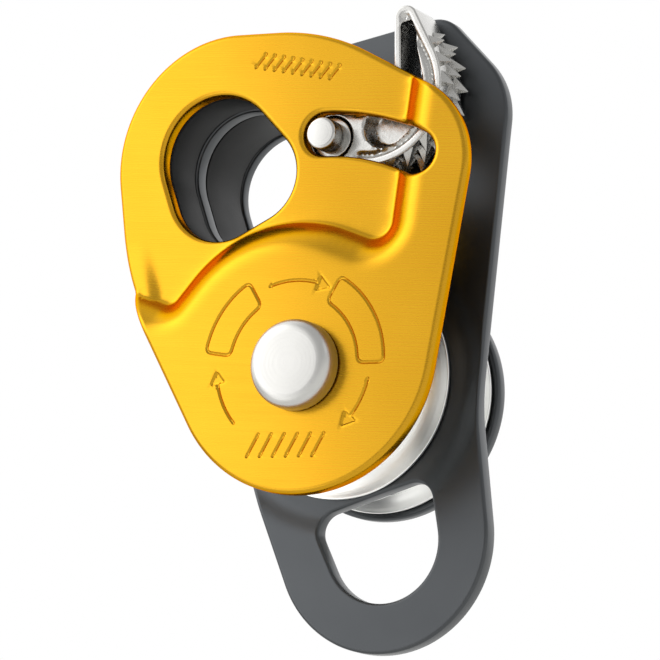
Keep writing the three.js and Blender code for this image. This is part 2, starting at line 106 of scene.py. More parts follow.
def belt(circles, grow=0.0):
    """Closed outline of a belt round circles [x, z, radius] taken counter-clockwise, a negative radius for a
    hollow corner. The number of points is the same whatever it is grown by."""
    count = len(circles)
    normals, spans = [], []
    for i, (x, z, r) in enumerate(circles):
        next_x, next_z, next_r = circles[(i + 1) % count]
        reach = math.hypot(next_x - x, next_z - z)
        along = Vector((next_x - x, next_z - z)) / reach
        sine = (next_r - r) / reach
        cosine = math.sqrt(1 - sine * sine)
        normals.append((sine * along.x - cosine * along.y, sine * along.y + cosine * along.x))
        spans.append(reach * cosine)
    points = []
    for i, (x, z, r) in enumerate(circles):
        side = 1 if r < 0 else -1
        start = math.atan2(side * normals[i - 1][1], side * normals[i - 1][0])
        end = math.atan2(side * normals[i][1], side * normals[i][0])
        sweep = (-side * (end - start)) % math.tau
        if sweep > 0.98 * math.tau:  # a corner that hardly turns, the wrong way
            sweep = 0
        steps = math.ceil(max(sweep * abs(r) / CHORD, sweep / WIDEST_STEP) - 1e-6)
        radius = abs(r + grow)
        for k in range(steps + 1):
            angle = start - side * sweep * k / max(steps, 1)
            points.append((x + radius * math.cos(angle), z + radius * math.sin(angle)))
        next_x, next_z, next_r = circles[(i + 1) % count]
        straight = math.ceil(spans[i] / CHORD)
        here = np.array((x, z)) - np.array(normals[i]) * (r + grow)
        there = np.array((next_x, next_z)) - np.array(normals[i]) * (next_r + grow)
        points += [tuple(here + (there - here) * k / straight) for k in range(1, straight)]
    return np.array(points)


def circle(x, z, radius, grow=0.0, count=48):
    angle = np.arange(count) * math.tau / count
    return np.stack((x + (radius + grow) * np.cos(angle), z + (radius + grow) * np.sin(angle)), axis=1)


def distance(points, path, closed=True):
    """Distance from each point to a path. Inside a closed one it is negative."""
    ends = np.roll(path, -1, axis=0) if closed else path[1:]
    nearest = np.full(len(points), np.inf)
    inside = np.zeros(len(points), bool)
    for start, end in zip(path, ends):
        along = end - start
        away = points - start
        share = np.clip(away @ along / max(along @ along, 1e-12), 0, 1)
        nearest = np.minimum(nearest, ((away - share[:, None] * along) ** 2).sum(1))
        if closed and along[1] != 0:
            crosses = (start[1] > points[:, 1]) != (end[1] > points[:, 1])
            inside ^= crosses & (away[:, 0] < away[:, 1] * along[0] / along[1])
    return np.where(inside, -np.sqrt(nearest), np.sqrt(nearest))


def ease(share):
    """From 0 to 1 with a soft start and end."""
    share = np.clip(share, 0, 1)
    return share * share * (3 - 2 * share)


def finish_mesh(name, bm, material, body, nodes, sharp=38):
    """Makes a finished piece that rides on a body and stands for CAD nodes."""
    bmesh.ops.remove_doubles(bm, verts=bm.verts, dist=0.002 * MM)
    bmesh.ops.dissolve_degenerate(bm, edges=bm.edges, dist=0.0005 * MM)
    bmesh.ops.recalc_face_normals(bm, faces=bm.faces)
    for face in bm.faces:
        face.smooth = True
    for edge in bm.edges:
        if edge.is_manifold and edge.calc_face_angle() > math.radians(sharp):
            edge.smooth = False
    mesh = bpy.data.meshes.new(name)
    bm.to_mesh(mesh)
    bm.free()
    mesh.materials.append(material)
    piece = bpy.data.objects.new(name, mesh)
    bpy.context.scene.collection.objects.link(piece)
    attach(piece, body)
    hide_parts(*nodes)
    return piece


def sheet(outline, holes, front, back, edge, spacing=0.8, near=()):
    """A pressed or cast sheet with round edges. outline and each hole give their points for a growth, front
    and back give the depth at points, and near holds points that the mesh has to have."""
    steps = 4
    lip = 0.25 * edge
    row_pitch = 0.866 * spacing  # for even triangles
    bm = bmesh.new()
    inner = []
    for path, side in [(outline, -1)] + [(hole, 1) for hole in holes]:
        rows = []
        for k in range(steps + 1):
            angle = math.radians(90) * k / steps
            inset = path(side * (TUMBLED + edge * (1 - math.cos(angle))))
            drop = edge * (1 - math.sin(angle))
            rows.append((inset, drop))
        rows.append((path(side * (TUMBLED + edge + lip)), 0))
        layers = [(row, front(row) + drop) for row, drop in reversed(rows)]
        layers += [(row, back(row) - drop) for row, drop in rows]
        loops = [[bm.verts.new(point(p[0], y, p[1])) for p, y in zip(row, depth)] for row, depth in layers]
        for above, below in zip(loops, loops[1:]):
            for i in range(len(above)):
                j = (i + 1) % len(above)
                bm.faces.new((above[i], above[j], below[j], below[i]))
        inner.append(rows[-1][0].astype(np.float32).astype(float))
    low, high = inner[0].min(0), inner[0].max(0)
    columns = np.arange(low[0], high[0], spacing)
    rows = np.arange(low[1], high[1], row_pitch)
    grid = np.array([(x + (spacing / 2 if i % 2 else 0), z) for i, z in enumerate(rows) for x in columns])
    if len(near):
        close = np.array([np.hypot(*(near - g).T).min() < spacing * 0.5 for g in grid])
        grid = np.concatenate((grid[~close], near))
    keep = distance(grid, inner[0]) < -0.4 * spacing
    for hole in inner[1:]:
        keep &= distance(grid, hole) > 0.4 * spacing
    corners, borders = [], []
    for ring in inner:
        first = len(corners)
        corners += [Vector(p) for p in ring]
        borders += [(first + i, first + (i + 1) % len(ring)) for i in range(len(ring))]
    corners += [Vector(p) for p in grid[keep]]
    flat, _, triangles = delaunay_2d_cdt(corners, borders, [], 0, 1e-7)[:3]
    flat = np.array([tuple(v) for v in flat])
    centres = flat[np.array(triangles)].mean(1)
    solid = distance(centres, inner[0]) < 0
    for hole in inner[1:]:
        solid &= distance(centres, hole) > 0
    for depth in (front(flat), back(flat)):
        used = [bm.verts.new(point(p[0], y, p[1])) for p, y in zip(flat, depth)]
        for triangle in np.array(triangles)[solid]:
            bm.faces.new([used[i] for i in triangle])
        for v in used:
            if not v.link_faces:
                bm.verts.remove(v)
    return bm


def linear(hex_colour):
    """Linear colour from an sRGB hex value."""
    values = [int(hex_colour[i : i + 2], 16) / 255 for i in (1, 3, 5)]
    return [v / 12.92 if v <= 0.04045 else ((v + 0.055) / 1.055) ** 2.4 for v in values] + [1]


def add_node(tree, kind, links=None, **settings):
    """Adds a node, sets its settings, and fills each named input with a value or another node's output."""
    node = tree.nodes.new(kind)
    for key, value in settings.items():
        setattr(node, key, value)
    for socket, value in (links or {}).items():
        if isinstance(value, bpy.types.NodeSocket):
            tree.links.new(value, node.inputs[socket])
        else:
            node.inputs[socket].default_value = value
    return node


def new_material(name, **values):
    """A material with one Principled shader, its plain values set on the shader's own sockets."""
    material = bpy.data.materials.new(name)
    material.use_nodes = True
    tree = material.node_tree
    shader = tree.nodes["Principled BSDF"]
    for socket, value in values.items():
        shader.inputs[socket.replace("_", " ")].default_value = value
    return material, tree, shader


def dress(tree, shader, colour, roughness, relief):
    """Gives a shader its colour, roughness and relief. Each comes as a pattern and two values: the colours and
    the roughness at its ends, and the strength and height of the relief."""
    pattern, first, second = colour
    tint = add_node(tree, "ShaderNodeMix", {0: pattern.outputs[0]}, data_type="RGBA")
    tint.inputs["A"].default_value, tint.inputs["B"].default_value = first, second
    pattern, low, high = roughness
    rough = add_node(tree, "ShaderNodeMapRange", {"Value": pattern.outputs[0], "To Min": low, "To Max": high})
    pattern, strength, height = relief
    bump = add_node(
        tree, "ShaderNodeBump", {"Height": pattern.outputs[0], "Strength": strength, "Distance": height}
    )
    tree.links.new(tint.outputs["Result"], shader.inputs["Base Color"])
    tree.links.new(rough.outputs[0], shader.inputs["Roughness"])
    tree.links.new(bump.outputs[0], shader.inputs["Normal"])


# Gold anodised aluminium, brushed before anodising: a clear gold that mirrors broad lights softly, with fine
# lines across the plate, and turns more orange where it is seen at a slant. The real lines are about 0.05 mm
# apart and are drawn at 0.2 mm so that they show.
gold, tree, shader = new_material("gold_anodised_brushed_aluminium", Metallic=1.0)
shader.inputs["Specular Tint"].default_value = linear("#EBA550")
place = add_node(tree, "ShaderNodeTexCoord").outputs["Object"]
brush_way = (0, math.radians(-21), 0)
line_size = (1 / 0.012, 1 / 0.002, 1 / 0.0002)
turned_place = add_node(tree, "ShaderNodeMapping", {"Vector": place, "Rotation": brush_way}).outputs[0]
brushed = add_node(tree, "ShaderNodeMapping", {"Vector": turned_place, "Scale": line_size})
lines = add_node(tree, "ShaderNodeTexNoise", {"Vector": brushed.outputs[0], "Scale": 1.0, "Detail": 3.0})
clouds = add_node(tree, "ShaderNodeTexNoise", {"Vector": place, "Scale": 1 / 0.018, "Detail": 3.0})
dress(
    tree,
    shader,
    colour=(clouds, linear("#B6851A"), linear("#BF9124")),
    roughness=(lines, 0.2, 0.34),
    relief=(lines, 0.07, 0.00003),
)

SWING_OUTLINE = [
    [0.8, 2.4, FLANGE_R + 3.7],
    [20.9, CROWN_Z + 2.4, 13.8],
    [-1.8, CROWN_Z - 0.6, 32.1],
    [-4.4, CROWN_Z + 13.1, 19.9],
    [9.4, CROWN_Z + 3.4, 35.1],
]
ATTACHMENT_HOLE = [
    [-6.4, CROWN_Z + 14.6, 9.6],
    [-7.2, CROWN_Z + 10.2, 8.6],
    [-1.9, CROWN_Z + 10, 7.6],
]
SLOT_HALF_WIDTH = 3.3
SLOT_SWEEP = 28  # degrees about the axle
AXLE_HOLE_R = 4.3
DOME = {"x": -3, "z": 0.3, "foot": FLANGE_R + 5.4, "clear": 0.3}


def beside_dome(degrees, radius):
    """A circle that touches the foot of the dome from outside."""
    angle = math.radians(degrees)
    reach = DOME["foot"] + radius + DOME["clear"]
    return [DOME["x"] + reach * math.cos(angle), DOME["z"] + reach * math.sin(angle), radius]


# The recess ends round the dome's foot below, and well past the plate on the other sides.
RECESS = belt(
    [
        beside_dome(130, 1.8),
        [DOME["x"], DOME["z"], -DOME["foot"]],
        beside_dome(43, 2.7),
        [39.3, CROWN_Z + 47.5, 2.2],
        [-55, CROWN_Z + 47.5, 3],
        [-55, CROWN_Z + 27, 3],
    ]
)
dome_front, recess_back = depths("swing_side_plate")
recess_front = recess_back - PLATE
PIN_REACH = math.hypot(PIN_X, PIN_Z)
PIN_ANGLE = math.atan2(PIN_Z, PIN_X)


def slot_outline(grow=0.0):
    """The slot that the pin's tip runs in, an arc about the axle with round ends."""
    end_steps, side_steps = 20, 30
    far = PIN_ANGLE - math.radians(SLOT_SWEEP)
    half = SLOT_HALF_WIDTH + grow
    points = []
    for centre, first in ((far, -math.pi), (PIN_ANGLE, 0)):
        for k in range(end_steps + 1):
            angle = centre + first + math.pi * k / end_steps
            points.append(
                (
                    PIN_REACH * math.cos(centre) + half * math.cos(angle),
                    PIN_REACH * math.sin(centre) + half * math.sin(angle),
                )
            )
        reach = PIN_REACH + half if first else PIN_REACH - half
        start, end = (far, PIN_ANGLE) if first else (PIN_ANGLE, far)
        for k in range(1, side_steps):
            angle = start + (end - start) * k / side_steps
            points.append((reach * math.cos(angle), reach * math.sin(angle)))
    return np.array(points)


MARK_CENTRE = np.array((-0.9, 0.6))


def round_mark(degrees, radius):
    """A place on the dome by its angle and reach about the middle of the marks."""
    angle = np.radians(degrees)
    return MARK_CENTRE + radius * np.stack((np.cos(angle), np.sin(angle)), axis=-1)


def bend(start, corner, end, share):
    """A curve from start to end that leans towards the corner."""
    return (1 - share) ** 2 * start + 2 * share * (1 - share) * corner + share**2 * end


def arc_window(start, end, inner, outer, corner):
    """Outline of a curved window with round corners."""
    turn = math.degrees(corner / inner), math.degrees(corner / outer)
    pieces = []
    outer_arc = round_mark(np.linspace(start + turn[1], end - turn[1], 24), outer)
    inner_arc = round_mark(np.linspace(end - turn[0], start + turn[0], 24), inner)
    for arc, next_arc in ((outer_arc, inner_arc), (inner_arc, outer_arc)):
        pieces.append(arc)
        outgoing = arc[-1] - arc[-2]
        outgoing /= np.hypot(*outgoing)
        incoming = next_arc[0] - next_arc[1]
        incoming /= np.hypot(*incoming)
        first, last = arc[-1] + outgoing * corner, next_arc[0] + incoming * corner
        inward = (last - first) / np.hypot(*(last - first))
        share = np.linspace(0, 1, 7)[1:, None]
        leaving = bend(arc[-1], first, first + inward * corner, share)
        arriving = bend(last - inward * corner, last, next_arc[0], share)
        pieces += [leaving, (last - inward * corner)[None], arriving[:-1]]
    return np.concatenate(pieces)


def rope_strokes(centre, tilt, count, pitch, height, lean):
    """A row of slanting strokes, the common sign for a laid rope."""
    along = np.array((math.cos(math.radians(tilt)), math.sin(math.radians(tilt))))
    up = np.array((math.cos(math.radians(tilt + lean)), math.sin(math.radians(tilt + lean))))
    strokes = []
    for i in range(count):
        base = np.array(centre) + along * pitch * (i - (count - 1) / 2)
        strokes.append(base + up * np.array((-0.5, 0, 0.5))[:, None] * height)
    return strokes


WINDOW_INNER, WINDOW_OUTER, WINDOW_CORNER = 10.7, 15, 1
ARROW_R, HEAD_INNER, HEAD_OUTER = 12.8, 11.4, 14.2
windows, arrow_lines, arrow_heads = [], [], []
for start, end in ((104, 153), (-18, 43)):
    windows.append(arc_window(start, end, WINDOW_INNER, WINDOW_OUTER, WINDOW_CORNER))
for start, end in ((92, 56), (-29, -56), (204, 174)):
    arrow_lines.append(round_mark(np.linspace(start, end, 14), ARROW_R))
for tail, tip in ((56, 45), (-56, -67), (174, 164)):
    corners = (round_mark(tail, HEAD_INNER), round_mark(tail, HEAD_OUTER), round_mark(tip, ARROW_R))
    arrow_heads.append(np.stack(corners))
strokes = rope_strokes((-5.2, -10.7), tilt=-18.5, count=6, pitch=2.2, height=3.8, lean=62)
strokes += rope_strokes((10, 46.2), tilt=-29, count=9, pitch=1.6, height=2.6, lean=62)
GROOVE_HALF_WIDTH = 0.3
GROOVE_DEPTH = 0.22
GROOVE_STEEPNESS = 1.35  # over 1, so that the bottom is flat
HEAD_WALL, HEAD_START = 0.3, 0.2  # the wall round an arrow head, and how much of it lies outside


def engraving(points):
    """How deep the marks are cut at each point."""
    deepest = np.zeros(len(points))
    paths = [(w, True) for w in windows] + [(line, False) for line in arrow_lines + strokes]
    for path, closed in paths:
        low, high = path.min(0) - 1, path.max(0) + 1
        close = ((points > low) & (points < high)).all(1)
        gap = np.abs(distance(points[close], path, closed)) / GROOVE_HALF_WIDTH
        cut = GROOVE_DEPTH * ease(GROOVE_STEEPNESS - GROOVE_STEEPNESS * gap)
        deepest[close] = np.maximum(deepest[close], cut)
    for head in arrow_heads:
        cut = GROOVE_DEPTH * ease(HEAD_START - distance(points, head) / HEAD_WALL)
        deepest = np.maximum(deepest, cut)
    return deepest


def beside(path, closed, offsets, pitch=0.3):
    """Points along a path at each offset, for the mesh to follow."""
    ends = np.roll(path, -1, axis=0) if closed else path[1:]
    points = []
    for start, end in zip(path, ends):
        reach = np.hypot(*(end - start))
        if reach < 1e-6:
            continue
        across = np.array((start[1] - end[1], end[0] - start[0])) / reach
        for share in np.arange(0, 1, 1 / max(1, round(reach / pitch))):
            points += [start + (end - start) * share + across * offset for offset in offsets]
    return points


# The mesh follows each groove in lanes, the outermost on the flat, and the foot of the dome from 0.6 mm outside
# to 2.5 mm up its side.
HEAD_LANES = (-0.5, -0.25, 0, 0.25, 0.5)
FOOT_LANES = (0.6, 0.3, 0, -0.3, -0.7, -1.2, -1.8, -2.5)
lanes = [GROOVE_HALF_WIDTH * share for share in (-1.6, -1, -0.5, 0, 0.5, 1, 1.6)]
groove_points = []
for window in windows:
    groove_points += beside(window, True, lanes)
for line in arrow_lines + strokes:
    groove_points += beside(line, False, lanes)
    for x, z in (line[0], line[-1]):
        for reach, count in zip(lanes[4:], (6, 9, 12)):
            groove_points += list(circle(x, z, reach, count=count))
for head in arrow_heads:
    groove_points += beside(head, True, HEAD_LANES)
foot = beside(RECESS, True, FOOT_LANES, 0.5)
groove_points += [p for p in foot if abs(p[0]) < 30 and p[1] < 60]  # only near the plate

FOOT_ROUND = 0.35
FACE_RUN, BACK_RUN = 5.8, 3.4  # how far the step spreads on the face and on the back
SHOULDER_POWER = 2.3
CROWN_SLOPE, CROWN_FLAT = 0.038, 16
LEFT_CREASE = {"x": -20.8, "run": 2.6, "top": 31, "fade": 13, "height": 0.14}


def dome_rise(points, run):
    """0 in the recess and 1 on the dome, from a tight foot to a full round shoulder. On the left the dome's
    edge runs on up the plate as a ridge that fades out."""
    past = distance(points, RECESS)
    past = (past + np.sqrt(past**2 + FOOT_ROUND**2)) / 2
    step = 1 - (1 - np.clip(past / run, 0, 1)) ** SHOULDER_POWER
    ridge = LEFT_CREASE["height"] * ease((LEFT_CREASE["x"] - points[:, 0]) / LEFT_CREASE["run"])
    ridge *= ease((LEFT_CREASE["top"] - points[:, 1]) / LEFT_CREASE["fade"])
    return np.maximum(step, ridge)


def level_face(depth):
    return lambda points: np.full(len(points), depth)


def swing_front(points):
    """The front face, very slightly crowned from side to side."""
    rise = dome_rise(points, FACE_RUN)
    crown = CROWN_SLOPE * (np.hypot(points[:, 0], CROWN_FLAT) - CROWN_FLAT)
    return recess_front + (dome_front - recess_front) * rise + crown + engraving(points)


def swing_back(points):
    rise = dome_rise(points, BACK_RUN)
    return recess_back + (dome_front - recess_front) * rise


swing_mesh = sheet(
    lambda grow: belt(SWING_OUTLINE, grow),
    [
        lambda grow: belt(ATTACHMENT_HOLE, grow),
        slot_outline,
        lambda grow: circle(0, 0, AXLE_HOLE_R, grow),
    ],
    swing_front,
    swing_back,
    edge=0.7,
    spacing=0.7,
    near=np.array(groove_points),
)
finish_mesh(
    "front_swing_plate", swing_mesh, gold, "swing_plate", ["swing_side_plate"]
)

# ---- Middle plate ----
# The pulley's body: 3 mm aluminium sheet, blanked and tumbled, anodised black. It carries the axle, the cam pin
# and the tunnel spacers, and ends below in a becket eye. A shallow trough runs round the sheave.
MIDDLE_OUTLINE = [
    [-0.3, -FLANGE_R - 7, 17.5],
    [FLANGE_R + 41.3, -FLANGE_R - 3.2, -40.6],
    [24.9, CROWN_Z + 11.7, 12],
    [27.8, CROWN_Z + 22.3, 4.7],
    [-6.9, CROWN_Z + 14.1, 16.7],
]
BECKET_EYE = [
    [-0.4, -FLANGE_R - 7.6, 9.2],
    [6.2, -FLANGE_R - 3.5, 3.1],
    [-7.2, -FLANGE_R - 3.5, 3.1],
]
CATCH_HOLE = [
    [PIN_X + 12.9, PIN_Z + 8.9, 1.5],
    [PIN_X + 13.2, PIN_Z + 11.7, 1.5],
]
PIN_HOLE_R = 2.3
middle_front, middle_back = depths("middle_plate")

# Black anodised aluminium with a satin, tumbled surface: a soft grey sheen over near black, with a fine grain
# of about 0.3 mm and faint clouding from handling.
black, tree, shader = new_material("black_anodised_satin_aluminium", Metallic=1.0)
place = add_node(tree, "ShaderNodeTexCoord").outputs["Object"]
grain = add_node(tree, "ShaderNodeTexNoise", {"Vector": place, "Scale": 1 / 0.0003, "Detail": 2.0})
clouds = add_node(tree, "ShaderNodeTexNoise", {"Vector": place, "Scale": 1 / 0.012, "Detail": 4.0})
dress(
    tree,
    shader,
    colour=(clouds, linear("#424446"), linear("#4E5052")),
    roughness=(clouds, 0.32, 0.42),
    relief=(grain, 0.1, 0.00004),
)

TROUGH_R, TROUGH_HALF, TROUGH_DEPTH = FLANGE_R + 2.6, 3.2, 0.5
RIM_RUN, RIM_FALL, RIM_POWER = 7, 0.6, 1.5
RIM_START = {"z": -14, "run": 12}


def trough(points):
    """A shallow round trough about the axle."""
    reach = np.hypot(*points.T)
    return TROUGH_DEPTH * ease(1 - np.abs(reach - TROUGH_R) / TROUGH_HALF)


def middle_rim(points):
    """The surface falls away a little towards the outline, but not round the becket eye."""
    inside = -distance(points, belt(MIDDLE_OUTLINE))
    fall = RIM_FALL * np.clip(1 - inside / RIM_RUN, 0, 1) ** RIM_POWER
    return fall * ease((points[:, 1] - RIM_START["z"]) / RIM_START["run"])


middle_mesh = sheet(
    lambda grow: belt(MIDDLE_OUTLINE, grow),
    [
        lambda grow: belt(ATTACHMENT_HOLE, grow),
        lambda grow: belt(BECKET_EYE, grow),
        lambda grow: belt(CATCH_HOLE, grow),
        lambda grow: circle(0, 0, AXLE_HOLE_R, grow),
        lambda grow: circle(PIN_X, PIN_Z, PIN_HOLE_R, grow, 32),
    ],
    lambda points: middle_front + trough(points) + middle_rim(points),
    level_face(middle_back),
    edge=0.45,
    spacing=1.0,
)
finish_mesh(
    "middle_body_plate", middle_mesh, black, "middle_frame", ["middle_plate"]
)

# ---- Rear side plate ----
# The plain plate behind the rear sheave: 2.4 mm aluminium sheet, tumbled and anodised black. It swings open
# like the front one.
REAR_OUTLINE = [
    [0, 0, FLANGE_R + 1],
    [-6.6, CROWN_Z + 14.2, 16.6],
]
rear_front, rear_back = depths("rear_side_plate")
rear_mesh = sheet(
    lambda grow: belt(REAR_OUTLINE, grow),
    [lambda grow: belt(ATTACHMENT_HOLE, grow), lambda grow: circle(0, 0, AXLE_HOLE_R, grow)],
    level_face(rear_front),
    level_face(rear_back),
    edge=0.6,
    spacing=1.4,
)
finish_mesh(
    "rear_swing_plate", rear_mesh, black, "rear_plate", ["rear_side_plate"]
)

# ---- Tunnel spacers ----
# Two black moulded nylon liners, one on each side of the middle plate and fixed to it. They line the hole that
# the carabiner goes through and keep the plates apart.
SPACER_OUTLINE = [
    [-6.4, CROWN_Z + 14.6, 12],
    [-7.2, CROWN_Z + 10.2, 10.2],
    [-1.9, CROWN_Z + 10, 8.8],
]
SPACER_SETBACK = 0.2

# Moulded glass-filled nylon, spark-eroded tool: matt black with a fine even texture of about 0.25 mm, which
# swallows most of the sheen.
nylon, tree, shader = new_material("moulded_black_nylon", Metallic=0.0, IOR=1.53, Specular_IOR_Level=0.18)
place = add_node(tree, "ShaderNodeTexCoord").outputs["Object"]
pitting = add_node(tree, "ShaderNodeTexVoronoi", {"Vector": place, "Scale": 1 / 0.00025})
haze = add_node(tree, "ShaderNodeTexNoise", {"Vector": place, "Scale": 1 / 0.005, "Detail": 3.0})
dress(
    tree,
    shader,
    colour=(haze, linear("#08090A"), linear("#0E0F10")),
    roughness=(haze, 0.46, 0.56),
    relief=(pitting, 0.2, 0.00004),
)

for side in ("front", "rear"):
    spacer_front, spacer_back = depths(f"{side}_tunnel_spacer")
    spacer_mesh = sheet(
        lambda grow: belt(SPACER_OUTLINE, grow),
        [lambda grow: belt(ATTACHMENT_HOLE, SPACER_SETBACK + grow)],
        level_face(spacer_front),
        level_face(spacer_back),
        edge=0.25,
        spacing=1.4,
    )
    finish_mesh(
        f"{side}_tunnel_liner", spacer_mesh, nylon, "middle_frame", [f"{side}_tunnel_spacer"]
    )

# ---- Axle and washer ----
# A stainless rivet through all three plates, with a turned button head in front. Behind, the head is formed
# over a plain washer, which lets the rear plate swing.
HEAD_ROUND = 2.2
HEAD_PLAY = 0.3  # between a formed head and what it holds


def rounded(corners, steps=5):
    """A turned profile from corners [radius, depth, round], each corner blunted by its round."""
    profile = []
    count = len(corners)
    for i, (r, y, size) in enumerate(corners):
        here = Vector((r, y))
        if size == 0:
            profile.append(here)
            continue
        before = (Vector(corners[i - 1][:2]) - here).normalized()
        after = (Vector(corners[(i + 1) % count][:2]) - here).normalized()
        first, last = here + before * size, here + after * size
        for k in range(steps + 1):
            profile.append(bend(first, here, last, k / steps))
    return profile


def turn(profile, segments, x=0, z=0, depth=0):
    """A piece turned about an axis along the depth, from a closed profile of [radius, depth]."""
    bm = bmesh.new()
    loops = []
    for k in range(segments):
        cosine, sine = math.cos(math.tau * k / segments), math.sin(math.tau * k / segments)
        loops.append([bm.verts.new(point(x + r * cosine, depth + y, z + r * sine)) for r, y in profile])
    count = len(profile)
    for k in range(segments):
        here, there = loops[k], loops[(k + 1) % segments]
        for i in range(count):
            j = (i + 1) % count
            if profile[i][0] < 1e-6 and profile[j][0] < 1e-6:
                continue
            bm.faces.new((here[i], here[j], there[j], there[i]))
    bmesh.ops.remove_doubles(bm, verts=bm.verts, dist=0.002 * MM)
    return bm


def turned_metal(name, colour, roughness, centre_x, centre_z):
    """Bare metal turned on a lathe: tool marks run in rings about the piece's own axis, drawn 0.25 mm apart,
    and give a sheen that fans out from the middle."""
    material, tree, shader = new_material(name, Metallic=1.0)
    place = add_node(tree, "ShaderNodeTexCoord").outputs["Object"]
    centre = point(centre_x, 0, centre_z)
    vector_math = "ShaderNodeVectorMath"
    centred = add_node(tree, vector_math, {0: place, 1: (centre.x, 0, centre.z)}, operation="SUBTRACT")
    across = add_node(tree, vector_math, {0: centred.outputs[0], 1: (1, 0, 1)}, operation="MULTIPLY")
    reach = add_node(tree, vector_math, {0: across.outputs[0]}, operation="LENGTH").outputs["Value"]
    depth = add_node(tree, "ShaderNodeSeparateXYZ", {0: place}).outputs["Y"]
    rings = add_node(tree, "ShaderNodeCombineXYZ", {0: reach, 1: depth}).outputs[0]
    marks = add_node(tree, "ShaderNodeTexNoise", {"Vector": rings, "Scale": 1 / 0.00025, "Detail": 2.0})
    haze = add_node(tree, "ShaderNodeTexNoise", {"Vector": place, "Scale": 1 / 0.004, "Detail": 3.0})
    paler = [min(1, c * 1.12) for c in linear(colour)]
    dress(
        tree,
        shader,
        colour=(haze, linear(colour), paler),
        roughness=(marks, roughness - 0.07, roughness + 0.07),
        relief=(marks, 0.25, 0.00003),
    )
    return material


steel = turned_metal("turned_stainless_steel", "#B2B1AE", 0.34, 0, 0)
head_front, axle_back = depths("axle")
washer_front, washer_back = depths("axle_washer")
AXLE_R = 4.0
HEAD_R = half_width("axle")
HEAD_HEIGHT = 3.5
REAR_HEAD_R = 5.4
head_back = head_front + HEAD_HEIGHT
rear_head_front = washer_back + HEAD_PLAY
axle = [
    [0, head_front, 0],
    [HEAD_R, head_front, HEAD_ROUND],
    [HEAD_R, head_back, 0.15],
    [AXLE_R, head_back, 0],
    [AXLE_R, rear_head_front, 0],
    [REAR_HEAD_R, rear_head_front, 0.15],
    [REAR_HEAD_R, axle_back, 0.9],
    [0, axle_back, 0],
]
axle_mesh = turn(rounded(axle, 8), 96)
finish_mesh("axle_rivet", axle_mesh, steel, "middle_frame", ["axle"])
WASHER_R = half_width("axle_washer")
WASHER_BORE_R = 4.3
washer = [
    [WASHER_BORE_R, washer_front, 0],
    [WASHER_R, washer_front, 0.2],
    [WASHER_R, washer_back, 0.25],
    [WASHER_BORE_R, washer_back, 0.1],
]
washer_mesh = turn(rounded(washer), 72)
finish_mesh("axle_plain_washer", washer_mesh, steel, "middle_frame", ["axle_washer"])

# ---- Sheaves ----
# Two sheaves turned from aluminium bar and left bare, with a round rope groove cut to a satin finish that is
# kind to the rope. The flanges thin towards their rims.
TREAD_R = 12.5
GROOVE_WIDTH = 9.8
BORE_R = 9.6
TAPER_RUN, TAPER_DEPTH = 2.5, 0.3
GROOVE_STEPS = 36

sheave_metal = turned_metal("bare_turned_aluminium", "#E2E2E0", 0.3, 0, 0)
for side in ("front", "rear"):
    sheave_front, sheave_back = depths(f"{side}_sheave")
    centre = (sheave_front + sheave_back) / 2
    half = (sheave_back - sheave_front) / 2
    rim = half - TAPER_DEPTH
    groove_mouth = GROOVE_WIDTH / 2
    groove = []
    for k in range(1, GROOVE_STEPS):
        angle = math.pi * k / GROOVE_STEPS
        sunk = (FLANGE_R - TREAD_R) * math.sin(angle)
        groove.append([FLANGE_R - sunk, -groove_mouth * math.cos(angle), 0])
    profile = [
        [BORE_R, -half, 0.15],
        [FLANGE_R - TAPER_RUN, -half, 0.5],
        [FLANGE_R, -rim, 0.16],
        [FLANGE_R, -groove_mouth, 0.16],
        *groove,
        [FLANGE_R, groove_mouth, 0.16],
        [FLANGE_R, rim, 0.16],
        [FLANGE_R - TAPER_RUN, half, 0.5],
        [BORE_R, half, 0.15],
    ]
    sheave_mesh = turn(rounded(profile, 4), 144, depth=centre)
    finish_mesh(
        f"{side}_rope_sheave",
        sheave_mesh,
        sheave_metal,
        f"{side}_sheave_body",
        [f"{side}_sheave"],
    )

# ---- Ball bearings ----
# One sealed ball bearing in each sheave: ground races, eight balls in a black moulded cage and two thin rubber
# seals, held between turned spacers on the axle. Little of them shows until a side plate is open.
BALL_R = 1.35
BALL_COUNT = 8
RACE_GROOVE_R = 1.65
PITCH_R = 6.8
INNER_BORE_R, INNER_RACE_R = 4.3, 5.6
OUTER_RACE_R, OUTER_BORE_R = 8.0, 9.3
SEAL_GAP = 0.3
SEAL_INNER_RIM, SEAL_OUTER_RIM, SEAL_SLOPE = 0.8, 0.6, 0.2  # round the hollow in a seal's face
SEAL_HOLLOW = 0.45  # share of the seal's thickness

race_steel = turned_metal("ground_bearing_steel", "#B8BABC", 0.2, 0, 0)
spacer_steel = turned_metal("turned_steel_spacer", "#A9A8A4", 0.34, 0, 0)

# Nitrile rubber, moulded: near black and soft, with a faint bloom that makes it patchy.
rubber, tree, shader = new_material("moulded_nitrile_rubber", Metallic=0.0, IOR=1.52)
place = add_node(tree, "ShaderNodeTexCoord").outputs["Object"]
bloom = add_node(tree, "ShaderNodeTexNoise", {"Vector": place, "Scale": 1 / 0.0015, "Detail": 4.0})
dress(
    tree,
    shader,
    colour=(bloom, linear("#161617"), linear("#222324")),
    roughness=(bloom, 0.6, 0.75),
    relief=(bloom, 0.1, 0.00005),
)


def groove_arc(radius, start, end, steps=10):
    """The ball track of a race, as a turned profile."""
    angles = [math.radians(start + (end - start) * k / steps) for k in range(steps + 1)]
    return [[PITCH_R + radius * math.cos(a), radius * math.sin(a), 0] for a in angles]


